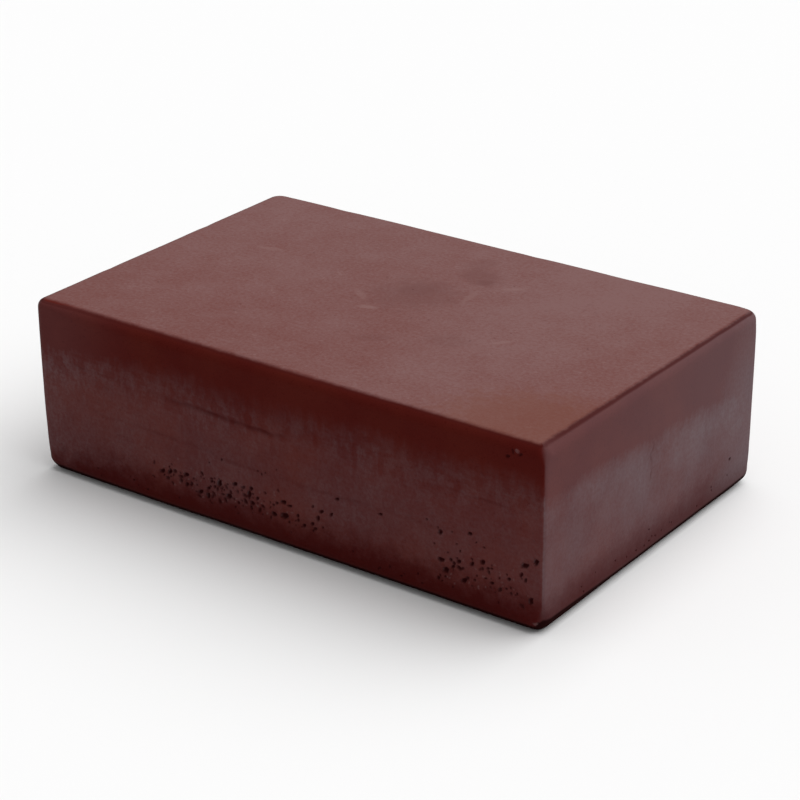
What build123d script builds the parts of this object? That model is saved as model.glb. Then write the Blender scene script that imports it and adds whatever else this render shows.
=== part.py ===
"""Detailing clay bar: one cast block of firm clay compound, in millimetres.

The origin is on the resting face, at the middle of the block's outline. X runs along the length,
Y across the width and Z up through the thickness, from the resting face to the working face.
"""

import os

from build123d import *

# Size of the block as it leaves its mould.
bar_length = 88.0
bar_width = 57.0
bar_thickness = 27.0

# The upright corners are soft, the resting edge is as soft as the mould's bottom corner,
# and the working edge is crisper, where the top of the mould was struck off level.
upright_corner_radius = 2.2
resting_edge_radius = 2.1
working_edge_radius = 1.1

with BuildPart() as clay_bar:
    with BuildSketch(Plane.XY):
        Rectangle(bar_length, bar_width)
    extrude(amount=bar_thickness)
    fillet(clay_bar.edges().filter_by(Axis.Z), radius=upright_corner_radius)
    fillet(clay_bar.faces().sort_by(Axis.Z)[0].edges(), radius=resting_edge_radius)
    fillet(clay_bar.faces().sort_by(Axis.Z)[-1].edges(), radius=working_edge_radius)

clay_bar.part.label = "clay_bar"

os.makedirs("parts", exist_ok=True)
export_step(clay_bar.part, "parts/clay_bar.step")

print(f"clay bar {bar_length} x {bar_width} x {bar_thickness} mm, {clay_bar.part.volume / 1000:.1f} cm3")
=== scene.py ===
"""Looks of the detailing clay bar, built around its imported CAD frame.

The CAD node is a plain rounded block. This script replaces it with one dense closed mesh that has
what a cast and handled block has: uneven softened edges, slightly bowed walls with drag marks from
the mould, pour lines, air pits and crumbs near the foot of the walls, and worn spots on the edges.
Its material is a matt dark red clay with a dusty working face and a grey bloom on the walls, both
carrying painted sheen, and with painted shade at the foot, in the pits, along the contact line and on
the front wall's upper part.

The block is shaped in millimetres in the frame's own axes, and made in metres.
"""

import math

import bmesh
import bpy
import numpy as np
from mathutils import Matrix, Vector


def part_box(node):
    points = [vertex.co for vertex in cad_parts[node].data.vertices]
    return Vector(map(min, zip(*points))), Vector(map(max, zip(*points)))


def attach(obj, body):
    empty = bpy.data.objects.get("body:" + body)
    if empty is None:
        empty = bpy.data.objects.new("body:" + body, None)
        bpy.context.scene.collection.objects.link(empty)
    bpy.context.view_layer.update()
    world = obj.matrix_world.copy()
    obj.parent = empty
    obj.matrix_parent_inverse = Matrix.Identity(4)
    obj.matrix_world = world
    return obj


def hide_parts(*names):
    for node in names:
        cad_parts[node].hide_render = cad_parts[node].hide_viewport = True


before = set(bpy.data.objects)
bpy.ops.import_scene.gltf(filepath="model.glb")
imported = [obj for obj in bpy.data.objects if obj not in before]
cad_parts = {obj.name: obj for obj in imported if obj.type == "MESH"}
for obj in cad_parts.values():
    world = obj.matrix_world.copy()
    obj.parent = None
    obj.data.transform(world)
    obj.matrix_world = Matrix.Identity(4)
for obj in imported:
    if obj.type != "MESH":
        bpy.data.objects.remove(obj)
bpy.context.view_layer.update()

MM = 0.001

node_low, node_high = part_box("clay_bar")
LENGTH, WIDTH, HEIGHT = ((node_high - node_low) / MM)[:]
HALF = np.array([LENGTH / 2, WIDTH / 2, HEIGHT / 2])
CENTRE = np.array(((node_low + node_high) / 2 / MM)[:])

# Softened edges, in millimetres. The upright corners are worn unevenly, and the sharp one opens out
# to TOP_CORNER_RADIUS under the working face. The upper rim is softer along the front wall, and along
# the right wall by the two extras at its near and its far end.
CORNER_RADII = {(-1, -1): 2.0, (1, -1): 0.7, (1, 1): 2.1, (-1, 1): 2.0}
TOP_CORNER_RADIUS = 1.5
TOP_RIM_RADIUS = 0.95
FRONT_RIM_EXTRA = 0.85
RIGHT_RIM_EXTRA = (0.95, 0.20)
FOOT_RIM_RADIUS = 2.3
# How much the rims' radii vary along them, as a share, and the depth under the top and the height over
# the foot between which the upright corners open out.
TOP_RIM_VARIATION = 0.12
FOOT_RIM_VARIATION = 0.07
TOP_OPENING = (2.6, 1.0)
FOOT_OPENING = (4.5, 2.2)

# The sides of the block: the axis and sign of the way each faces, and the axes that run along
# it and up it.
SIDES = {
    "front": {"axis": 1, "sign": -1, "along": 0, "up": 2},
    "right": {"axis": 0, "sign": 1, "along": 1, "up": 2},
    "back": {"axis": 1, "sign": 1, "along": 0, "up": 2},
    "left": {"axis": 0, "sign": -1, "along": 1, "up": 2},
    "top": {"axis": 2, "sign": 1, "along": 0, "up": 1},
}


# ---------------------------------------------------------------- smooth random fields


class Field:
    """Smooth seeded noise in space, about -1 to 1: random values on a lattice, blended between."""

    SIDE = 32

    def __init__(self, seed, cell):
        self.values = np.random.default_rng(seed).uniform(-1, 1, (self.SIDE,) * 3)
        self.cell = np.array(cell, float)

    def __call__(self, points):
        place = points / self.cell + self.SIDE * 0.37
        corner = np.floor(place).astype(int)
        share = place - corner
        share = share * share * (3 - 2 * share)
        total = np.zeros(len(points))
        for step in np.ndindex(2, 2, 2):
            index = (corner + step) % self.SIDE
            weight = np.prod(np.where(step, share, 1 - share), axis=1)
            total += weight * self.values[index[:, 0], index[:, 1], index[:, 2]]
        return total


def ramp(value, low, high):
    """0 below low and 1 above high, with a smooth step between. low may be the larger."""
    t = np.clip((value - low) / (high - low), 0, 1)
    return t * t * (3 - 2 * t)


# ---------------------------------------------------------------- air pits, lines and worn spots


def on_side(name, along, up):
    """A point on a side of the sharp block, from its places along and up that side."""
    side = SIDES[name]
    point = np.zeros(3)
    point[side["axis"]] = CENTRE[side["axis"]] + side["sign"] * HALF[side["axis"]]
    point[side["along"]] = along
    point[side["up"]] = up
    return point


def pit(name, along, up, radius, stretch=1.0, turn=0.0, depth=1.0, shade=1.0):
    """An air pit: stretch is its length over its width, turn is in radians, depth is in radii, and
    shade is how much painted shade darkens a pit, and how pale a crumb is. A depth below 0 makes a pale
    crumb that stands out."""
    return {
        "side": name,
        "centre": on_side(name, along, up),
        "radius": radius,
        "stretch": stretch,
        "turn": turn,
        "depth": depth * radius,
        "shade": shade,
    }


# How much wider the chosen pits are than listed, and how deep, in radii.
CHOSEN_SCALE = 1.08
CHOSEN_DEPTH = 0.9


def chosen_pits():
    """The larger pits, placed one by one. The front wall's are a list of along, height, radius,
    stretch and turn."""
    places = [
        (-20.4, 6.2, 0.30, 1.7, 0.5), (-18.9, 6.5, 0.32, 1.6, 0.8), (-15.8, 6.9, 0.28, 1.9, 0.1),
        (-15.8, 5.4, 0.27, 1.3, 1.2), (-13.3, 4.9, 0.34, 1.7, 0.6), (-11.9, 4.7, 0.36, 1.3, 1.4),
        (-11.8, 5.9, 0.24, 1.4, 0.3), (-9.8, 7.2, 0.42, 1.6, 1.3), (-11.2, 7.1, 0.21, 1.3, 0.9),
        (-8.1, 5.7, 0.36, 1.5, 0.1), (-7.0, 7.9, 0.31, 1.5, 0.7), (-4.5, 6.9, 0.34, 1.9, 1.4),
        (-4.1, 8.0, 0.28, 1.2, 0.6), (-3.9, 5.8, 0.30, 1.3, 0.2), (-3.0, 6.8, 0.25, 1.3, 1.2),
        (-0.1, 5.3, 0.33, 1.5, 0.1), (1.8, 5.5, 0.42, 1.4, 0.3), (1.7, 7.6, 0.33, 1.4, 0.2),
        (2.7, 7.3, 0.21, 2.0, 0.1), (4.1, 6.2, 0.22, 1.3, 1.3), (5.2, 5.0, 0.25, 1.4, 0.8),
        (6.6, 5.7, 0.24, 1.4, 0.5), (7.6, 6.8, 0.28, 1.6, 1.2), (8.2, 8.0, 0.22, 1.9, 0.5),
        (9.9, 8.1, 0.20, 2.1, 0.9), (10.9, 10.7, 0.24, 1.4, 0.2), (18.2, 10.6, 0.19, 1.7, 0.3),
        (27.9, 10.8, 0.28, 1.3, 0.9), (28.1, 6.8, 0.30, 2.0, 0.1), (28.8, 5.5, 0.37, 1.4, 0.5),
        (29.9, 6.3, 0.22, 1.3, 0.8), (30.9, 7.4, 0.27, 1.5, 0.6), (31.7, 4.8, 0.30, 1.8, 0.5),
        (32.6, 12.0, 0.24, 1.5, 0.3), (32.9, 7.6, 0.27, 1.4, 0.9), (34.6, 8.4, 0.27, 1.4, 0.7),
        (36.1, 5.8, 0.22, 1.5, 0.2), (38.7, 7.2, 0.22, 1.4, 0.3), (41.1, 9.9, 0.34, 1.9, 0.4),
        (42.8, 10.9, 0.36, 1.3, 1.5), (40.6, 8.4, 0.21, 1.9, 1.2), (42.1, 5.0, 0.31, 1.5, 1.2),
    ]
    pits = []
    for x, z, radius, stretch, turn in places:
        pits.append(pit("front", x, z, CHOSEN_SCALE * radius, stretch, turn, CHOSEN_DEPTH))
    # One in the right wall, three flecks under the rim, a crumb at the foot, and one by the flecks.
    pits += [
        pit("right", 21.0, 6.4, 0.24, 1.3, 0.4, 1.1),
        pit("front", 38.3, 24.7, 0.24, 1.7, 0.2, 0.8, 0.8),
        pit("front", 39.0, 25.6, 0.17, 2.0, 1.9, 0.6, 0.8),
        pit("front", 40.2, 25.4, 0.17, 2.0, 0.7, 0.6, 0.8),
        pit("front", 42.9, 1.7, 0.26, 1.6, 0.1, -0.5),
        pit("front", 39.6, 25.8, 0.23, 1.5, -0.4, -0.6, 0.9),
    ]
    return pits


# Where smaller pits gather: side, from and to along it, from and to up it, how many, largest radius.
PIT_ZONES = [
    ("front", -20, 0, 4.0, 7.8, 60, 0.32),
    ("front", -25, 11, 3.8, 8.6, 66, 0.28),
    ("front", -13, 5, 8.6, 12.5, 8, 0.18),
    ("front", 26, 43.2, 3.2, 9.0, 52, 0.28),
    ("front", 22, 36, 9.8, 12.4, 7, 0.19),
    ("front", -42, 43, 2.0, 4.0, 18, 0.18),
    ("right", -27, 27, 2.4, 4.2, 14, 0.15),
    ("right", -5, 1, 2.4, 4.8, 8, 0.17),
    ("back", -36, -6, 3.0, 7.8, 64, 0.28),
    ("back", 14, 30, 3.0, 6.6, 22, 0.24),
    ("back", -42, 42, 2.0, 4.0, 14, 0.18),
    ("left", -22, 14, 2.8, 6.8, 34, 0.26),
    ("top", -41, 41, -26, 26, 26, 0.15),
]

# Where pale crumbs of dried clay stand between the pits, listed as the pits are.
CRUMB_ZONES = [
    ("front", -21, 9, 4.0, 9.0, 70, 0.19),
    ("front", 27, 43, 3.6, 9.0, 28, 0.18),
    ("back", -34, -8, 3.4, 7.8, 26, 0.18),
    ("left", -20, 12, 3.0, 6.6, 12, 0.18),
]

# How deep they are, in radii, and the radius that no pit or crumb is under, in millimetres.
PIT_DEPTHS = (0.6, 1.1)
CRUMB_DEPTHS = (-0.7, -0.4)
SMALLEST_PIT = 0.13


def scattered_pits(taken):
    """Smaller pits and crumbs, most of them tiny, strewn without running into each other."""
    rng = np.random.default_rng(11)
    pits = list(taken)
    zones = [(zone, PIT_DEPTHS) for zone in PIT_ZONES] + [(zone, CRUMB_DEPTHS) for zone in CRUMB_ZONES]
    for (side, start, end, low, high, count, largest), depths in zones:
        for _ in range(count):
            radius = max(largest * rng.uniform(0.38, 1.0) ** 1.3, SMALLEST_PIT)
            along = start + (end - start) * rng.beta(1.7, 1.7)
            height = low + (high - low) * rng.beta(1.5, 1.5)
            stretch, turn = rng.uniform(1, 1.9), rng.uniform(0, math.pi)
            depth, shade = rng.uniform(*depths), rng.uniform(0.55, 1.0)
            # Pits in the working face are rubbed shallow, and take little painted shade.
            if side == "top":
                depth, shade = 0.3 * depth, 0.3
            made = pit(side, along, height, radius, stretch, turn, depth, shade)
            gaps = [np.linalg.norm(made["centre"] - p["centre"]) for p in pits]
            reach = [1.05 * (radius + p["radius"]) for p in pits]
            if all(gap > room for gap, room in zip(gaps, reach)):
                pits.append(made)
    return pits


# Lines in the walls, where one layer of the casting met the next, and one wavy hair line. Each is
# its points (along, height), how deep it is, how wide, and how dark.
LINES = [
    {"wall": "front", "depth": 0.22, "width": 0.36, "dark": 0.85,
     "points": [(-25, 18.2), (-14, 17.8), (-9, 17.5), (-5, 17.4), (0, 17.5), (4, 17.7)]},
    {"wall": "front", "depth": 0.10, "width": 0.24, "dark": 0.28,
     "points": [(-38, 18.6), (-32, 18.5), (-26, 18.3)]},
    {"wall": "front", "depth": 0.10, "width": 0.20, "dark": 0.40,
     "points": [(27, 17.6), (33, 17.4), (40, 17.5)]},
    {"wall": "front", "depth": 0.07, "width": 0.28, "dark": 0.27,
     "points": [(-39, 13.6), (-31, 12.0), (-16, 12.0), (-7, 11.1), (12, 11.1), (25, 11.3), (34, 12.0)]},
    {"wall": "right", "depth": 0.08, "width": 0.22, "dark": 0.45,
     "points": [(-1.9, 18.6), (-1.2, 17.2), (-1.9, 15.8), (-1.3, 14.4), (-1.8, 13.0), (-1.5, 11.8)]},
    {"wall": "back", "depth": 0.16, "width": 0.20, "dark": 0.45,
     "points": [(-22, 17.0), (-9, 17.4), (6, 17.2), (18, 17.9)]},
    {"wall": "left", "depth": 0.10, "width": 0.24, "dark": 0.35,
     "points": [(-24, 13.8), (-8, 12.9), (9, 13.0), (20, 12.2)]},
]


def line_gap(line, along, height):
    """How far points of a wall are from a line in it, and 0 to 1 for how much it is there."""
    places = np.array(line["points"], float)
    starts, steps = places[:-1], np.diff(places, axis=0)
    gap = np.full(len(along), 1e9)
    share = np.zeros(len(along))
    for index, (start, step) in enumerate(zip(starts, steps)):
        t = ((along - start[0]) * step[0] + (height - start[1]) * step[1]) / (step @ step)
        t = np.clip(t, 0, 1)
        away = np.hypot(along - start[0] - t * step[0], height - start[1] - t * step[1])
        share = np.where(away < gap, (index + t) / len(steps), share)
        gap = np.minimum(gap, away)
    return gap, ramp(share, 0, 0.25) * ramp(share, 1, 0.75)


# Worn spots on the upper rim and at two foot corners: place on the sharp block, radius, and how far
# the surface moves out there.
WORN_SPOTS = [
    ((-LENGTH / 2, -WIDTH / 2, HEIGHT), 1.0, -0.10),
    ((LENGTH / 2, -WIDTH / 2, HEIGHT), 1.3, -0.15),
    ((21.5, -WIDTH / 2, HEIGHT), 1.2, -0.06),
    ((-12.0, -WIDTH / 2, HEIGHT), 1.4, -0.06),
    ((LENGTH / 2, -8.0, HEIGHT), 1.5, -0.05),
    ((LENGTH / 2, 17.0, HEIGHT), 1.2, -0.06),
    ((LENGTH / 2, WIDTH / 2, HEIGHT), 2.4, -0.18),
    ((-30.0, WIDTH / 2, HEIGHT), 2.2, -0.05),
    ((6.0, WIDTH / 2, HEIGHT), 1.8, -0.05),
    ((-LENGTH / 2, 10.0, HEIGHT), 1.8, -0.05),
    ((-LENGTH / 2, -12.0, HEIGHT), 1.6, -0.05),
    ((-LENGTH / 2, -WIDTH / 2, 0), 8.0, -0.22),
    ((LENGTH / 2, WIDTH / 2, 0), 6.0, -0.11),
]


# ---------------------------------------------------------------- the block's mesh


def stations(half, step, ends):
    """Places from -half to half: step apart inside, and closer in a band at each end.
    ends is (width, step) of the band at the low end, then of the band at the high end."""
    (low_band, low_step), (high_band, high_step) = ends
    low = np.linspace(-half, -half + low_band, round(low_band / low_step) + 1)
    high = np.linspace(half - high_band, half, round(high_band / high_step) + 1)
    inside = np.linspace(low[-1], high[0], round((high[0] - low[-1]) / step) + 1)
    return np.concatenate([low[:-1], inside, high[1:]])


# The lattice's step, and the width and step of its finer bands along the edges, in millimetres.
LATTICE_STEP = 1.0
RIM_BAND = (2.8, 0.4)
TOP_RIM_BAND = (1.6, 0.2)


def lattice_block():
    """A sharp block whose six sides are grids that share their edges, as a bmesh."""
    grids = [
        stations(HALF[0], LATTICE_STEP, (RIM_BAND, RIM_BAND)),
        stations(HALF[1], LATTICE_STEP, (RIM_BAND, RIM_BAND)),
        stations(HALF[2], LATTICE_STEP, (RIM_BAND, TOP_RIM_BAND)),
    ]
    block = bmesh.new()
    made = {}

    def vertex(index):
        if index not in made:
            place = [grids[axis][index[axis]] for axis in range(3)]
            made[index] = block.verts.new(np.array(place) + CENTRE)
        return made[index]

    for axis in range(3):
        u, v = (axis + 1) % 3, (axis + 2) % 3
        for side in (0, len(grids[axis]) - 1):
            for i in range(len(grids[u]) - 1):
                for j in range(len(grids[v]) - 1):
                    corners = []
                    for di, dj in ((0, 0), (1, 0), (1, 1), (0, 1)):
                        index = [0, 0, 0]
                        index[axis], index[u], index[v] = side, i + di, j + dj
                        corners.append(vertex(tuple(index)))
                    block.faces.new(corners if side else corners[::-1])
    return block


# How long the mesh's edges may be on each side, in millimetres, away from its finer details, then
# elsewhere, along a deep and a shallow line, in the smallest pits, and as shares of a detail's radius.
EDGE_LENGTHS = {"front": 0.75, "right": 1.05, "back": 1.1, "left": 1.1, "top": 1.5}
COARSEST_EDGE = 1.5
DEEP_LINE_EDGE, SHALLOW_LINE_EDGE = 0.18, 0.30
SMALLEST_PIT_EDGE = 0.18
PIT_EDGE, WORN_EDGE, CORNER_EDGE = 0.52, 0.25, 0.35
REFINEMENTS = 5


def wanted_lengths(middles, lengths, pits):
    """How long each edge may be, from its middle and its length: fine enough for what is there."""
    wanted = np.full(len(middles), COARSEST_EDGE)
    for name, side in SIDES.items():
        outward = side["sign"] * (middles[:, side["axis"]] - CENTRE[side["axis"]])
        here = np.flatnonzero(outward > HALF[side["axis"]] - 1e-3)
        along, up, size = middles[here, side["along"]], middles[here, side["up"]], lengths[here]
        allowed = np.full(len(here), EDGE_LENGTHS[name])
        for line in LINES:
            if line["wall"] == name:
                gap, there = line_gap(line, along, up)
                near = (gap < 3 * line["width"]) & (there > 0)
                allowed[near] = DEEP_LINE_EDGE if line["depth"] > 0.15 else SHALLOW_LINE_EDGE
        for one in pits:
            if one["side"] == name:
                gap = np.hypot(along - one["centre"][side["along"]], up - one["centre"][side["up"]])
                near = gap < one["radius"] * (0.3 + one["stretch"]) + 0.5 * size
                finest = max(SMALLEST_PIT_EDGE, PIT_EDGE * one["radius"])
                allowed[near] = np.minimum(allowed[near], finest)
        wanted[here] = np.minimum(wanted[here], allowed)
    for place, radius, _ in WORN_SPOTS:
        near = np.linalg.norm(middles - np.array(place), axis=1) < 1.6 * radius
        wanted[near] = np.minimum(wanted[near], WORN_EDGE * radius)
    for (x, y), radius in CORNER_RADII.items():
        near = np.hypot(middles[:, 0] - x * HALF[0], middles[:, 1] - y * HALF[1]) < 1.5 * radius
        wanted[near] = np.minimum(wanted[near], CORNER_EDGE * radius)
    return wanted


def refine(block, pits):
    """Cuts the block into triangles, and halves edges until none is too long for what is there."""
    bmesh.ops.triangulate(block, faces=block.faces[:])
    for _ in range(REFINEMENTS):
        block.edges.index_update()
        edges = block.edges[:]
        ends = np.array([[vertex.co[:] for vertex in edge.verts] for edge in edges])
        lengths = np.linalg.norm(ends[:, 1] - ends[:, 0], axis=1)
        halved = lengths > wanted_lengths(ends.mean(axis=1), lengths, pits)
        # The longest edge of a face is halved with any other of its edges, so that no sliver is left.
        around = np.array([[edge.index for edge in face.edges] for face in block.faces])
        longest = around[np.arange(len(around)), lengths[around].argmax(axis=1)]
        count = 0
        while count < halved.sum():
            count = halved.sum()
            halved[longest[halved[around].any(axis=1)]] = True
        bmesh.ops.subdivide_edges(block, edges=[edges[i] for i in np.flatnonzero(halved)], cuts=1)
        bmesh.ops.triangulate(block, faces=block.faces[:])


def corner_radius(points):
    """The upright corners' radius, blended from corner to corner round the block."""
    along = points[:, 0] / LENGTH + 0.5
    across = points[:, 1] / WIDTH + 0.5
    total = np.zeros(len(points))
    for (x, y), radius in CORNER_RADII.items():
        total += radius * (along if x > 0 else 1 - along) * (across if y > 0 else 1 - across)
    return total


def top_rim_radius(points, out):
    """The working face's edge, softer along the front and towards the near end of the right wall."""
    front = np.maximum(-out[:, 1], 0) ** 2 * ramp(points[:, 0], -42, -34)
    near_end, far_end = RIGHT_RIM_EXTRA
    right = np.maximum(out[:, 0], 0) ** 2
    along = points[:, 1] / WIDTH + 0.5
    radius = TOP_RIM_RADIUS + FRONT_RIM_EXTRA * front + right * (near_end + (far_end - near_end) * along)
    return radius * (1 + TOP_RIM_VARIATION * Field(3, (7, 7, 7))(points))


def rounded(points):
    """Points of the sharp block moved onto the rounded one, and the outward direction there."""
    foot_rim = FOOT_RIM_RADIUS * (1 + FOOT_RIM_VARIATION * Field(4, (11, 11, 11))(points))
    # The upright corners open out where they reach the foot, and where they reach the upper rim.
    upright = corner_radius(points)
    upright += np.maximum(foot_rim - upright, 0) * ramp(points[:, 2], *FOOT_OPENING)
    upright += np.maximum(TOP_CORNER_RADIUS - upright, 0) * ramp(HEIGHT - points[:, 2], *TOP_OPENING)
    flat = points[:, :2]
    past = np.abs(flat) - (HALF[:2] - upright[:, None])
    in_corner = (past > 0).all(axis=1)[:, None]
    straight = np.eye(2)[past.argmax(axis=1)]
    start = np.sign(flat) * (np.abs(flat) - np.where(in_corner, past, past * straight))
    fan = past / np.maximum(np.linalg.norm(past, axis=1), 1e-9)[:, None]
    out = np.sign(flat) * np.where(in_corner, fan, straight)
    # Near an upright corner the upper rim is no softer than the corner is.
    top_rim = np.minimum(top_rim_radius(points, out), upright + 0.5 * np.maximum(-past.min(axis=1), 0))
    rim = np.where(points[:, 2] > CENTRE[2], top_rim, foot_rim)
    beyond = past.max(axis=1) - upright
    height = points[:, 2] - CENTRE[2]
    across = np.maximum(beyond + rim, 0)
    upward = np.maximum(np.abs(height) - HALF[2] + rim, 0)
    size = np.maximum(np.hypot(across, upward), 1e-9)
    moved = points.copy()
    reach = upright + np.where(across > 0, rim * (across / size - 1), beyond)
    moved[:, :2] = start + out * reach[:, None]
    level = HALF[2] + rim * (upward / size - 1)
    moved[:, 2] = np.where(upward > 0, np.sign(height) * level + CENTRE[2], points[:, 2])
    normal = np.column_stack([out * (across / size)[:, None], np.sign(height) * upward / size])
    return moved, normal


def wall_share(normal, name):
    """1 on a wall's flat, falling to 0 round its edges."""
    wall = SIDES[name]
    return ramp(wall["sign"] * normal[:, wall["axis"]], 0.3, 0.95)


# Unevenness of the cast surface: the seed, the size of its swells along X, Y and Z, and its height,
# in millimetres. The surface stands SET_BACK inside the plain block, so that its swells stay in the
# frame's box.
BOWED = (21, (26, 26, 20), 0.07)
WAVY = (22, (8, 8, 6), 0.022)
DIMPLED = (23, (2.6, 2.6, 2.2), 0.006)
DRAGGED = (24, (0.9, 0.9, 8.0), 0.010)
FOOT_ROUGHNESS = (25, (1.0, 1.0, 0.8), 0.020)
SET_BACK = 0.05


def uneven(kind, points):
    """The height of one kind of unevenness."""
    seed, swells, height = kind
    return height * Field(seed, swells)(points)


def relief(points, normal):
    """How far the surface stands out from the plain rounded block, without its pits."""
    sides = 1 - np.abs(normal[:, 2])
    out = uneven(BOWED, points) + uneven(WAVY, points) + uneven(DIMPLED, points) - SET_BACK
    height = points[:, 2] / HEIGHT
    out += sides * ramp(height, 0.1, 0.3) * ramp(height, 0.9, 0.72) * uneven(DRAGGED, points)
    # The foot of each wall was in the bottom of the mould, and is a little rough.
    out += sides * ramp(height, 0.42, 0.16) * uneven(FOOT_ROUGHNESS, points)
    return out


def drawn_lines(points, normal):
    """How far the surface is sunk by the lines in the walls, and how dark they make it."""
    sunk = np.zeros(len(points))
    dark = np.zeros(len(points))
    # The lines waver by up to a fifth of a millimetre, and come and go along their length.
    wander = Field(26, (1.9, 1.9, 1.9))
    moved = points + 0.20 * np.column_stack([wander(points), wander(points + 40), wander(points + 80)])
    strength = np.clip(0.62 + 0.60 * Field(27, (1.4, 1.4, 1.4))(points), 0.08, 1.0)
    for line in LINES:
        wall = SIDES[line["wall"]]
        gap, there = line_gap(line, moved[:, wall["along"]], moved[:, 2])
        profile = np.exp(-((gap / line["width"]) ** 2))
        groove = wall_share(normal, line["wall"]) * there * strength * profile
        sunk = np.maximum(sunk, line["depth"] * groove)
        dark = np.maximum(dark, line["dark"] * groove)
    return sunk, dark


# A pit's ragged outline, the small lip round it and the soft border of its painted shade, all in radii.
PIT_RAGGED = 0.28
LIP_HEIGHT, LIP_PLACE, LIP_WIDTH = 0.1, 1.18, 0.16
PIT_SHADE_BORDER = (1.32, 0.50)


def pit_depth(points, pits):
    """How far the surface is sunk by the pits, and 0 to 1 for the painted shade in a pit, and for being on a
    crumb.
    """
    sunk = np.zeros(len(points))
    inside = {"pit": np.zeros(len(points)), "crumb": np.zeros(len(points))}
    ragged = Field(31, (0.30, 0.30, 0.30))(points)
    for one in pits:
        side = SIDES[one["side"]]
        gap = points - rounded(one["centre"][None])[0]
        near = np.flatnonzero(np.abs(gap).max(axis=1) < 2.2 * one["radius"] * one["stretch"])
        along = gap[near, side["along"]]
        up = np.hypot(gap[near, side["up"]], gap[near, side["axis"]]) * np.sign(gap[near, side["up"]])
        cos, sin = math.cos(one["turn"]), math.sin(one["turn"])
        long_way = (along * cos + up * sin) / one["stretch"]
        short_way = up * cos - along * sin
        t = np.hypot(long_way, short_way) / one["radius"] * (1 + PIT_RAGGED * ragged[near])
        bowl = one["depth"] * np.clip(1 - t**2, 0, 1) ** 0.6
        lip = LIP_HEIGHT * one["radius"] * np.exp(-(((t - LIP_PLACE) / LIP_WIDTH) ** 2))
        deeper = bowl - lip
        sunk[near] = np.where(np.abs(deeper) > np.abs(sunk[near]), deeper, sunk[near])
        kind = inside["pit" if one["depth"] > 0 else "crumb"]
        kind[near] = np.maximum(kind[near], one["shade"] * ramp(t, *PIT_SHADE_BORDER))
    return sunk, inside["pit"], inside["crumb"]


def worn_height(points):
    """Worn spots on the edges, as soft hollows."""
    out = np.zeros(len(points))
    for place, radius, lift in WORN_SPOTS:
        centre = rounded(np.array(place)[None])[0]
        gap = np.linalg.norm(points - centre, axis=1)
        out += lift * np.exp(-((gap / radius) ** 2) * 1.6)
    return out


def clay_block():
    """The whole block as one closed mesh."""
    pits = scattered_pits(chosen_pits())
    block = lattice_block()
    refine(block, pits)
    sharp = np.array([vertex.co for vertex in block.verts])
    points, normal = rounded(sharp)
    pitted, inside, crumbs = pit_depth(points, pits)
    drawn, dark = drawn_lines(points, normal)
    out = relief(points, normal) + worn_height(points) - pitted - drawn
    # The resting face stays flat on its plane, and no foot edge bulges under it.
    resting = ramp(-normal[:, 2], 0.75, 1.0)
    out *= 1 - resting
    points = points + normal * out[:, None]
    points[:, 2] = np.clip(points[:, 2], 0, None)
    for vertex, place in zip(block.verts, points * MM):
        vertex.co = place
    mesh = bpy.data.meshes.new("clay_bar_cast")
    block.to_mesh(mesh)
    block.free()
    for name, values in (("pit_shade", inside), ("line", dark), ("crumb", crumbs)):
        attribute = mesh.attributes.new(name, "FLOAT", "POINT")
        attribute.data.foreach_set("value", values.astype(np.float32))
    mesh.shade_smooth()
    piece = bpy.data.objects.new("clay_bar_cast", mesh)
    bpy.context.scene.collection.objects.link(piece)
    return piece


# ---------------------------------------------------------------- the clay's material


class Nodes:
    """Short ways to add the shader nodes that the material uses."""

    def __init__(self, tree):
        self.tree = tree

    def add(self, kind, **settings):
        node = self.tree.nodes.new(kind)
        for name, value in settings.items():
            setattr(node, name, value)
        return node

    def put(self, socket, value):
        if isinstance(value, bpy.types.NodeSocket):
            self.tree.links.new(value, socket)
        elif value is not None:
            socket.default_value = value

    def math(self, operation, a, b=None, c=None):
        node = self.add("ShaderNodeMath", operation=operation)
        for socket, value in zip(node.inputs, (a, b, c)):
            self.put(socket, value)
        return node.outputs[0]

    def product(self, *values):
        total = values[0]
        for value in values[1:]:
            total = self.math("MULTIPLY", total, value)
        return total

    def vector(self, operation, a, b):
        node = self.add("ShaderNodeVectorMath", operation=operation)
        self.put(node.inputs[0], a)
        self.put(node.inputs[1], b)
        return node.outputs[0]

    def ramp(self, value, low, high, start=0.0, end=1.0):
        """start at low and below, end at high and above, smooth between."""
        node = self.add("ShaderNodeMapRange", interpolation_type="SMOOTHSTEP")
        if low > high:
            low, high, start, end = high, low, end, start
        for name, number in zip(("From Min", "From Max", "To Min", "To Max"), (low, high, start, end)):
            self.put(node.inputs[name], number)
        self.put(node.inputs["Value"], value)
        return node.outputs[0]

    def noise(self, place, size, detail=2.0, roughness=0.5, stretch=(1, 1, 1), offset=0.0):
        """Noise of 0 to 1 whose blobs are about size millimetres, longer along stretch."""
        scaled = self.vector("MULTIPLY", place, tuple(1 / (size * s) for s in stretch))
        moved = self.vector("ADD", scaled, (offset, offset, offset))
        node = self.add("ShaderNodeTexNoise", noise_dimensions="3D")
        self.put(node.inputs["Vector"], moved)
        self.put(node.inputs["Scale"], 1.0)
        self.put(node.inputs["Detail"], detail)
        self.put(node.inputs["Roughness"], roughness)
        return node.outputs["Fac"]

    def mix(self, factor, a, b):
        node = self.add("ShaderNodeMix", data_type="RGBA")
        self.put(node.inputs[0], factor)
        self.put(node.inputs[6], a)
        self.put(node.inputs[7], b)
        return node.outputs[2]

    def split(self, vector):
        node = self.add("ShaderNodeSeparateXYZ")
        self.put(node.inputs[0], vector)
        return node.outputs


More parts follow.
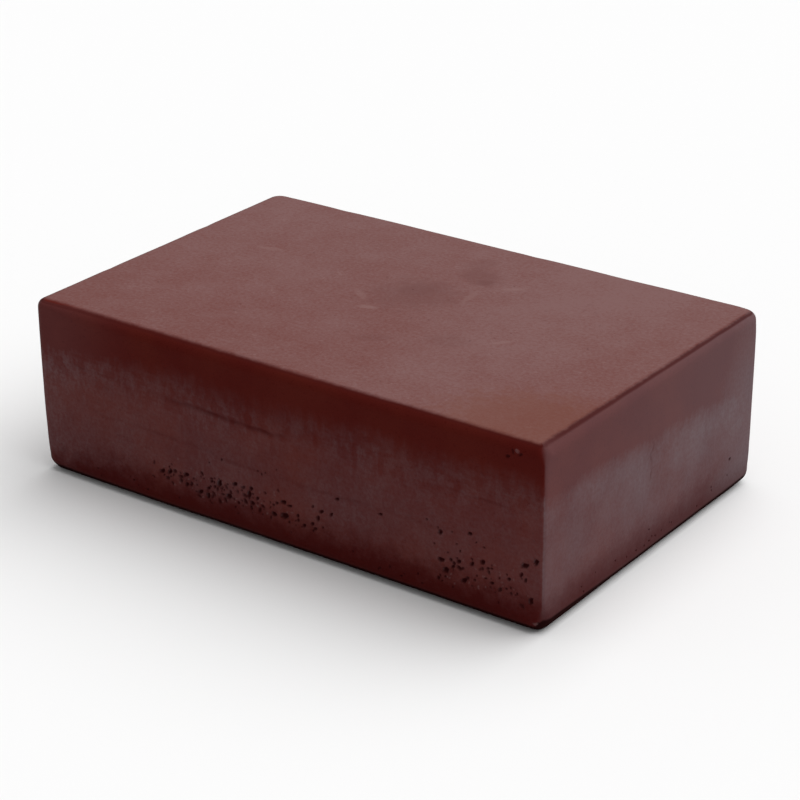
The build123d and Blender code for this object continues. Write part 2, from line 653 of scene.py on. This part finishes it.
# Linear colours.
CLAY = (0.084, 0.0108, 0.0082, 1)
# Deep red of the filler specks and the lines, also used as painted shade at the foot and on the front wall's
# upper part.
CLAY_DEEP_AND_SHADE = (0.046, 0.0024, 0.0020, 1)
CLAY_WARM = (0.100, 0.0155, 0.0105, 1)
CLAY_RIM = (0.050, 0.0078, 0.0070, 1)
# Painted contact shadow at the foot.
CONTACT_SHADE = (0.012, 0.0026, 0.0026, 1)
# Painted shade inside the pits.
PIT_SHADE = (0.026, 0.0030, 0.0034, 1)
# Grey bloom with painted sheen: partly real bloom, partly painted reflection of the bright surround.
WALL_BLOOM_AND_SHEEN = (0.168, 0.1342, 0.1460, 1)
# The working face's ground colours, pale with dust and with painted sheen.
FACE_WARM = (0.164, 0.0645, 0.0580, 1)
FACE_DUST_AND_SHEEN = (0.201, 0.1065, 0.1030, 1)
FACE_SMUDGE = (0.140, 0.0600, 0.0560, 1)
FACE_LIGHT = (0.250, 0.1500, 0.1420, 1)
FACE_OCHRE = (0.168, 0.0620, 0.0440, 1)
CRUMB = (0.130, 0.0640, 0.0640, 1)

# The finish of each wall. Grey bloom with painted sheen covers it by BLOOM_AND_SHEEN, from 0 to 1; the
# right wall's larger share is painted sheen. It is mottled near its upper border by MOTTLE. The border
# sways by BORDER_SWAY, in block heights, and BORDER_CLEAR is how crisp it is. FINE_GRAIN holds the
# least and the most that the grain makes of the bloom. FOOT_SHADED_BLOOM is what is left of it at the
# foot, under painted shade whose height varies by FOOT_SHADE_MOTTLE, in millimetres.
BLOOM_AND_SHEEN = {"front": 0.190, "right": 0.54, "back": 0.37, "left": 0.40}
MOTTLE = {"front": 0.58, "right": 0.16, "back": 0.45, "left": 0.45}
BORDER_SWAY = {"front": 0.10, "right": 0.10, "back": 0.30, "left": 0.28}
BORDER_CLEAR = {"front": 0.8, "right": 0.55, "back": 0.75, "left": 0.7}
FINE_GRAIN = (
    {"front": 0.75, "right": 0.88, "back": 0.78, "left": 0.78},
    {"front": 1.2, "right": 1.08, "back": 1.16, "left": 1.16},
)
FOOT_SHADED_BLOOM = {"front": 0.1, "right": 0.28, "back": 0.15, "left": 0.2}
FOOT_SHADE_MOTTLE = {"front": 6.0, "right": 2.5, "back": 5.0, "left": 5.0}

# The border of the bloom and its painted sheen, in block heights: its height in the middle, its fall from
# front to back, and how much lower it is at the front wall's left end, which starts at the first X and is
# full at the second.
BORDER_HEIGHT = 0.735
BORDER_FALL = 0.11
LEFT_END_DROP = 0.035
LEFT_END = (-30, -43)

# How far in from the front and right edges the pale working face begins and is whole, and how much
# nearer to them its border comes towards the front's right end and the right wall's back end.
FACE_FROM_FRONT = (0.9, 2.3)
FACE_FROM_RIGHT = (1.08, 1.98)
FRONT_BORDER_SLANT = 0.65
RIGHT_BORDER_SLANT = 0.45

# Where the bloom on the front wall is rubbed off in upright streaks: centre along and up, half sizes.
RUBBED_STREAKS = [
    ((14.0, 17.8), (0.7, 2.6)), ((18.2, 18.0), (0.6, 2.2)), ((-4.2, 18.6), (0.8, 1.8)),
    ((-10.3, 18.9), (0.7, 1.6)), ((30.5, 18.4), (0.9, 1.5)), ((7.4, 18.5), (0.5, 1.7)),
]

# Marks on the working face: centre, half sizes, turn, strength and colour. The last is the corner
# between the front and right walls, where the face is warmer.
FACE_MARKS = [
    ((0.0, 5.2), (8.6, 7.4), 0.5, 0.40, FACE_SMUDGE), ((-0.4, 6.8), (3.6, 3.0), 0.6, 0.36, FACE_SMUDGE),
    ((4.2, 16.2), (5.0, 3.4), -0.5, 0.44, FACE_SMUDGE), ((1.2, 20.6), (3.4, 2.6), 0.9, 0.26, FACE_SMUDGE),
    ((6.0, 14.6), (1.7, 1.3), 0.4, 0.50, FACE_SMUDGE),
    ((4.4, -11.6), (3.2, 1.4), 0.5, 0.26, FACE_SMUDGE), ((13.8, -6.6), (4.2, 2.8), 0.3, 0.22, FACE_SMUDGE),
    ((-2.8, -2.8), (1.9, 0.8), 0.3, 0.40, FACE_LIGHT), ((10.7, 14.8), (2.4, 0.6), 0.7, 0.30, FACE_LIGHT),
    ((20.1, -2.8), (2.2, 0.6), 0.9, 0.34, FACE_LIGHT), ((-29.0, 7.9), (2.6, 0.7), 0.2, 0.30, FACE_LIGHT),
    ((-6.4, 0.6), (3.0, 0.7), -0.6, 0.26, FACE_LIGHT), ((7.2, 8.4), (3.2, 0.7), 1.7, 0.26, FACE_LIGHT),
    ((37.0, -22.0), (15.0, 11.0), 0.4, 0.55, FACE_OCHRE),
]


def mark(n, place, u, v, centre, radii, turn, ragged):
    """1 inside an ellipse in the plane of u and v, with a ragged soft border."""
    cos, sin = math.cos(turn), math.sin(turn)
    du, dv = n.math("SUBTRACT", u, centre[0]), n.math("SUBTRACT", v, centre[1])
    along = n.math("ADD", n.product(du, cos / radii[0]), n.product(dv, sin / radii[0]))
    across = n.math("ADD", n.product(dv, cos / radii[1]), n.product(du, -sin / radii[1]))
    away = n.math("SQRT", n.math("ADD", n.product(along, along), n.product(across, across)))
    uneven = n.math("MULTIPLY_ADD", n.noise(place, 1.6, detail=4, offset=centre[0]), ragged, -ragged / 2)
    return n.ramp(n.math("ADD", away, uneven), 1.1, 0.4)


class Clay:
    """Where a point of the clay is, and what is there, as sockets that its layers share."""

    def __init__(self, n):
        self.n = n
        coordinates = n.add("ShaderNodeTexCoord")
        self.place = n.vector("SCALE", coordinates.outputs["Object"], None)
        self.place.node.inputs["Scale"].default_value = 1 / MM
        self.x, self.y, self.z = n.split(self.place)
        side_x, side_y, self.up = n.split(coordinates.outputs["Normal"])
        self.share = n.math("MULTIPLY", self.z, 1 / HEIGHT)
        self.ragged = n.noise(self.place, 1.8, detail=4, roughness=0.65, offset=4.0)
        # Each wall's share of a point, by its level direction, so that it holds round the rim and foot.
        level = n.math("SQRT", n.math("MAXIMUM", n.math("SUBTRACT", 1.0, n.product(self.up, self.up)), 0.01))
        level_x, level_y = n.math("DIVIDE", side_x, level), n.math("DIVIDE", side_y, level)
        self.facing = {
            "front": n.ramp(level_y, -0.45, -0.90),
            "right": n.ramp(level_x, 0.45, 0.90),
            "back": n.ramp(level_y, 0.45, 0.90),
            "left": n.ramp(level_x, -0.45, -0.90),
        }
        self.left_end = n.product(self.facing["front"], n.ramp(self.x, *LEFT_END))
        self.working = self.working_share()
        # Height above the foot for its painted shade: mottled, and larger at the front wall's left end,
        # where the painted shade stays lower.
        mottle = n.product(n.math("SUBTRACT", self.ragged, 0.5), self.by_wall(FOOT_SHADE_MOTTLE))
        height = n.math("ADD", self.z, mottle)
        self.height = n.math("ADD", height, n.product(self.left_end, 2.2))

    def attribute(self, name):
        """What the mesh says of a point."""
        return self.n.add("ShaderNodeAttribute", attribute_name=name).outputs["Fac"]

    def by_wall(self, values):
        """The value of the wall that a point is on, blended round the corners."""
        n = self.n
        parts = [n.product(self.facing[name], value) for name, value in values.items()]
        total = parts[0]
        for part in parts[1:]:
            total = n.math("ADD", total, part)
        return total

    def working_share(self):
        """1 on the working face, dusty and with painted sheen, which ends a little way in from its front and
        right edges.
        """
        n = self.n
        uneven_edge = n.math("MULTIPLY_ADD", self.ragged, 0.8, -0.4)
        front_edge = n.math("MULTIPLY_ADD", self.x, FRONT_BORDER_SLANT / LENGTH, HALF[1])
        from_front = n.math("ADD", front_edge, self.y)
        right_edge = n.math("MULTIPLY_ADD", self.y, RIGHT_BORDER_SLANT / WIDTH, HALF[0])
        from_right = n.math("SUBTRACT", right_edge, self.x)
        return n.product(
            n.ramp(self.up, 0.90, 0.985),
            n.ramp(n.math("ADD", from_front, uneven_edge), *FACE_FROM_FRONT),
            n.ramp(n.math("ADD", from_right, uneven_edge), *FACE_FROM_RIGHT),
        )


def clay_body(n, clay):
    """The clay itself: two close reds in soft clouds, with fine filler specks, and painted shade that
    darkens the foot and the front wall's upper part.
    """
    body = n.mix(n.ramp(n.noise(clay.place, 9, detail=3), 0.35, 0.70), CLAY, CLAY_WARM)
    specks = n.ramp(n.noise(clay.place, 0.35, detail=1), 0.60, 0.74)
    body = n.mix(n.product(specks, 0.35), body, CLAY_DEEP_AND_SHADE)
    # Painted shade, darker towards the foot.
    body = n.mix(n.ramp(clay.height, 7.8, 2.4, 0.0, 0.80), body, CLAY_DEEP_AND_SHADE)
    # Painted shade: the front wall's upper part is deeper red, most of all away from its left end.
    along = n.ramp(clay.x, -42, -20, 0.10, 0.45)
    return n.mix(n.product(clay.facing["front"], along, n.ramp(clay.share, 0.55, 0.80)), body, CLAY_DEEP_AND_SHADE)


def bloom_border(n, clay):
    """How far a point is below the upper border of the bloom and its painted sheen, in shares of the height.
    """
    border = n.math("MULTIPLY_ADD", clay.y, -BORDER_FALL / WIDTH, BORDER_HEIGHT)
    sway = n.math("SUBTRACT", n.noise(clay.place, 13, detail=3, stretch=(1, 1, 0.7)), 0.5)
    wander = n.product(sway, clay.by_wall(BORDER_SWAY))
    streaks = n.noise(clay.place, 1.3, detail=3, roughness=0.5, stretch=(1, 1, 3.0))
    teeth = n.product(n.math("SUBTRACT", streaks, 0.5), clay.by_wall(MOTTLE), 0.22)
    border = n.math("ADD", n.math("ADD", border, wander), teeth)
    border = n.math("ADD", border, n.product(clay.left_end, -LEFT_END_DROP))
    return n.math("SUBTRACT", border, clay.share)


def bloom_left(n, clay, below):
    """1 where the bloom is whole, and less where it is worn off in blots and rows near its border."""
    near_border = n.ramp(below, 0.34, 0.06, 0.42, 1.0)
    blots = n.noise(clay.place, 1.0, detail=4, roughness=0.58, stretch=(1, 1, 1.7))
    rows = n.noise(clay.place, 0.8, detail=3, roughness=0.55, stretch=(4.5, 4.5, 0.8), offset=12.0)
    blots = n.math("ADD", n.product(blots, 0.70), n.product(rows, 0.30))
    mottle = n.product(n.ramp(blots, 0.41, 0.60), near_border, clay.by_wall(MOTTLE))
    return n.math("SUBTRACT", 1.0, mottle)


def wall_bloom_and_sheen(n, clay):
    """How much grey bloom and painted sheen cover a point of the walls, from the foot up to a mottled border;
    at the foot painted shade dims them.
    """
    below = bloom_border(n, clay)
    spread = n.ramp(n.product(below, clay.by_wall(BORDER_CLEAR)), -0.06, 0.09)
    patches = n.ramp(n.noise(clay.place, 12, detail=3, offset=7.0), 0.33, 0.66, 0.75, 1.15)
    faint, strong = (clay.by_wall(values) for values in FINE_GRAIN)
    grains = n.ramp(n.noise(clay.place, 0.5, detail=3, roughness=0.65), 0.30, 0.68, faint, strong)
    # At the foot painted shade takes the place of the bloom and its painted sheen.
    foot_shade_fade = n.ramp(clay.height, 2.0, 8.4, clay.by_wall(FOOT_SHADED_BLOOM), 1.0)
    bloom = n.product(spread, foot_shade_fade, bloom_left(n, clay, below), patches, grains)
    for centre, radii in RUBBED_STREAKS:
        streak = mark(n, clay.place, clay.x, clay.z, centre, radii, 0.0, 1.3)
        rubbed = n.product(streak, clay.facing["front"])
        bloom = n.product(bloom, n.math("MULTIPLY_ADD", rubbed, -0.55, 1.0))
    bloom = n.math("MAXIMUM", bloom, wall_film_and_sheen(n, clay, grains))
    return n.product(bloom, bloom_and_sheen_cover(n, clay))


def wall_film_and_sheen(n, clay, grains):
    """A thinner film of bloom and painted sheen, which goes on above the border but for most of the front.
    The right wall's back end has painted sheen from the foot to the rim."""
    film = clay.by_wall({
        "front": n.ramp(clay.x, -22, -42, 0.0, 0.38),
        "right": n.ramp(clay.y, -HALF[1], HALF[1], 0.49, 0.60),
        "back": 0.25,
        "left": 0.30,
    })
    film = n.product(n.ramp(clay.share, 0.1, 0.5), film)
    upward = n.ramp(clay.share, 0.60, 0.95, 1.0, 0.75)
    # Painted sheen at the right wall's back end, from the foot to the rim.
    end_sheen = n.product(n.ramp(clay.y, 3, 28, 0.0, 1.02), upward, grains)
    end_sheen = n.product(end_sheen, n.ramp(clay.z, 0.5, 5.0, 0.45, 1.0))
    return n.math("MAXIMUM", film, n.product(end_sheen, clay.facing["right"]))


def bloom_and_sheen_cover(n, clay):
    """How thick the bloom and painted sheen are on each wall: thicker to the front's left end and the right's
    back end, where the painted sheen is stronger.
    """
    return clay.by_wall({
        "front": n.product(n.ramp(clay.x, -14, -42, 1.0, 1.42), BLOOM_AND_SHEEN["front"]),
        "right": n.product(n.ramp(clay.y, -HALF[1], HALF[1], 0.90, 1.18), BLOOM_AND_SHEEN["right"]),
        "back": BLOOM_AND_SHEEN["back"],
        "left": BLOOM_AND_SHEEN["left"],
    })


def bare_rim(n, clay):
    """1 in the line where a wall turns over into the working face, and how bare of bloom it is."""
    rim = n.product(n.ramp(clay.up, 0.80, 0.93), n.math("SUBTRACT", 1.0, clay.working))
    right_bare = n.ramp(clay.y, -HALF[1], -22, 0.40, 0.72)
    return rim, clay.by_wall({"front": 0.5, "right": right_bare, "back": 0.6, "left": 0.6})


def contact_shadow(n, clay):
    """Painted contact shadow: the foot is nearly black where it meets what the block lies on."""
    right_line = n.ramp(clay.y, -HALF[1], -6, 2.15, 1.72)
    line_height = clay.by_wall({"front": 1.15, "right": right_line, "back": 1.1, "left": 1.2})
    return n.ramp(n.math("SUBTRACT", clay.z, line_height), 0.35, -0.15, 0.0, 0.96)


def working_face(n, clay):
    """The working face, rubbed paler and with painted sheen that grows to the back, and paler in a band
    across its right half.
    """
    place, x, y = clay.place, clay.x, clay.y
    grain = n.math("MULTIPLY_ADD", n.noise(place, 0.55, detail=3, roughness=0.7), 2.0, -1.0)
    clouds = n.math("MULTIPLY_ADD", n.noise(place, 5, detail=5, roughness=0.62, offset=3.0), 1.1, -0.55)
    # Painted sheen, growing to the back and to the left.
    sheen_to_back = n.math("ADD", n.math("MULTIPLY_ADD", y, 0.45 / WIDTH, 0.49), n.product(x, -0.12 / LENGTH))
    paler_band = n.ramp(n.math("ABSOLUTE", n.math("SUBTRACT", x, 22.0)), 4.0, 18.0, 0.30, 0.0)
    pale = n.math("ADD", n.math("ADD", grain, clouds), n.math("ADD", sheen_to_back, paler_band))
    pale.node.use_clamp = True
    face = n.mix(pale, FACE_WARM, FACE_DUST_AND_SHEEN)
    dots = n.ramp(n.noise(place, 1.1, detail=2, roughness=0.7, offset=15.0), 0.64, 0.71)
    face = n.mix(n.product(dots, 0.30), face, FACE_SMUDGE)
    flecks = n.ramp(n.noise(place, 1.3, detail=2, roughness=0.7, offset=25.0), 0.67, 0.74)
    face = n.mix(n.product(flecks, 0.32), face, FACE_LIGHT)
    for centre, radii, turn, strength, colour in FACE_MARKS:
        spot = mark(n, place, x, y, centre, radii, turn, 1.0)
        face = n.mix(n.product(spot, strength), face, colour)
    return face


def clay_roughness(n, clay, bloom, dull, pitted):
    """Satin walls, smoother above the bloom; a duller working face; dull pits, rim and contact line."""
    satin = n.ramp(bloom, 0.0, 0.2, 0.42, 0.54)
    gloss = n.math("MULTIPLY_ADD", n.noise(clay.place, 1.2, detail=3, offset=5.0), 0.10, -0.05)
    rough = n.math("ADD", satin, gloss)
    rough = n.math("MAXIMUM", rough, n.product(clay.working, 0.60))
    rough = n.math("MAXIMUM", rough, n.product(pitted, 0.8))
    return n.math("MAXIMUM", rough, dull)


def filler_grain(n, clay):
    """The fine grain and pores of the filler, as a change of the surface's direction."""
    fine = n.noise(clay.place, 0.16, detail=3, roughness=0.6)
    pores = n.ramp(n.noise(clay.place, 0.5, detail=2, offset=9.0), 0.25, 0.45)
    bump = n.add("ShaderNodeBump")
    bump.inputs["Strength"].default_value = 0.8
    bump.inputs["Distance"].default_value = MM
    n.put(bump.inputs["Height"], n.math("ADD", n.product(fine, 0.008), n.product(pores, 0.008)))
    return bump.outputs["Normal"]


def clay_material():
    """The clay's layers, from its body outwards."""
    material = bpy.data.materials.new("cast_red_clay")
    material.use_nodes = True
    n = Nodes(material.node_tree)
    shader = material.node_tree.nodes["Principled BSDF"]
    clay = Clay(n)
    bloom = wall_bloom_and_sheen(n, clay)
    rim, bare = bare_rim(n, clay)
    contact = contact_shadow(n, clay)
    pitted = clay.attribute("pit_shade")

    # Grey bloom and painted sheen on the walls.
    colour = n.mix(bloom, clay_body(n, clay), WALL_BLOOM_AND_SHEEN)
    colour = n.mix(n.product(rim, bare), colour, CLAY_RIM)
    # Painted contact shadow along the foot.
    colour = n.mix(contact, colour, CONTACT_SHADE)
    # The working face, dusty and with painted sheen.
    colour = n.mix(clay.working, colour, working_face(n, clay))
    colour = n.mix(n.product(clay.attribute("crumb"), 0.6), colour, CRUMB)
    colour = n.mix(clay.attribute("line"), colour, CLAY_DEEP_AND_SHADE)
    # Painted shade in the pits.
    colour = n.mix(n.product(pitted, 0.96), colour, PIT_SHADE)
    n.put(shader.inputs["Base Color"], colour)
    n.put(shader.inputs["Roughness"], clay_roughness(n, clay, bloom, n.math("MAXIMUM", contact, rim), pitted))
    shader.inputs["Specular IOR Level"].default_value = 0.01
    n.put(shader.inputs["Normal"], filler_grain(n, clay))
    return material


# ---------------------------------------------------------------- floor, lights and camera

FLOOR_COLOUR = (0.88, 0.88, 0.88, 1)
# Half the floor's side, in block lengths, and the brightness of the white surround.
FLOOR_REACH = 40
SURROUND_STRENGTH = 0.36


def pale_floor():
    """A plain floor, so wide that it fills the view."""
    half = FLOOR_REACH * LENGTH * MM
    mesh = bpy.data.meshes.new("floor")
    corners = [(-half, -half, 0), (half, -half, 0), (half, half, 0), (-half, half, 0)]
    mesh.from_pydata(corners, [], [(0, 1, 2, 3)])
    material = bpy.data.materials.new("plain_floor")
    material.use_nodes = True
    shader = material.node_tree.nodes["Principled BSDF"]
    shader.inputs["Base Color"].default_value = FLOOR_COLOUR
    shader.inputs["Roughness"].default_value = 0.9
    shader.inputs["Specular IOR Level"].default_value = 0.0
    mesh.materials.append(material)
    floor = bpy.data.objects.new("floor", mesh)
    bpy.context.scene.collection.objects.link(floor)


def soft_light(name, azimuth, elevation, spread, strength):
    """Broad soft light from one side. Azimuth 0 is from +Y and 90 from +X, and angles are in degrees."""
    light = bpy.data.lights.new(name, "SUN")
    light.energy = strength
    light.angle = math.radians(spread)
    lamp = bpy.data.objects.new(name, light)
    a, e = math.radians(azimuth), math.radians(elevation)
    towards = Vector((math.sin(a) * math.cos(e), math.cos(a) * math.cos(e), math.sin(e)))
    lamp.rotation_mode = "QUATERNION"
    lamp.rotation_quaternion = towards.to_track_quat("Z", "Y")
    bpy.context.scene.collection.objects.link(lamp)


def studio_light():
    """An even white surround, and one broad light from above and behind."""
    world = bpy.data.worlds.new("studio")
    world.use_nodes = True
    background = world.node_tree.nodes["Background"]
    background.inputs["Color"].default_value = (1, 1, 1, 1)
    background.inputs["Strength"].default_value = SURROUND_STRENGTH
    bpy.context.scene.world = world
    soft_light("overhead", azimuth=40, elevation=62, spread=80, strength=2.7)
    bpy.context.scene.view_settings.view_transform = "Standard"
    bpy.context.scene.view_settings.look = "None"


# The camera looks down on the corner between the front and right walls. Angles are in degrees,
# azimuth from -Y towards +X, and distances are shares of the block's length.
VIEW_AZIMUTH = 35.95
VIEW_ELEVATION = 24.26
VIEW_ROLL = -0.375
VIEW_DISTANCE = 3.9645
AIM_RIGHT = 0.0084
AIM_UP = -0.0150
LENS = 107.97
SENSOR = 36


def photo_camera():
    """The camera at the view's angles, aimed a little off the middle of the block."""
    azimuth, elevation, roll = (math.radians(v) for v in (VIEW_AZIMUTH, VIEW_ELEVATION, VIEW_ROLL))
    level = math.cos(elevation)
    back = Vector((math.sin(azimuth) * level, -math.cos(azimuth) * level, math.sin(elevation)))
    right = Vector((math.cos(azimuth), math.sin(azimuth), 0))
    up = back.cross(right)
    tilted_right = right * math.cos(roll) + up * math.sin(roll)
    tilted_up = up * math.cos(roll) - right * math.sin(roll)
    length = LENGTH * MM
    middle = (node_low + node_high) / 2
    aim = middle + tilted_right * AIM_RIGHT * length + tilted_up * AIM_UP * length
    data = bpy.data.cameras.new("photo_view")
    data.lens = LENS
    data.sensor_width = SENSOR
    data.clip_start, data.clip_end = 0.01, 100
    camera = bpy.data.objects.new("photo_view", data)
    turn = Matrix((tilted_right, tilted_up, back)).transposed().to_4x4()
    camera.matrix_world = Matrix.Translation(aim + back * VIEW_DISTANCE * length) @ turn
    bpy.context.scene.collection.objects.link(camera)
    bpy.context.scene.camera = camera


photo_camera()
pale_floor()
studio_light()

block_piece = clay_block()
block_piece.data.materials.append(clay_material())
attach(block_piece, "root")
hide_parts("clay_bar")
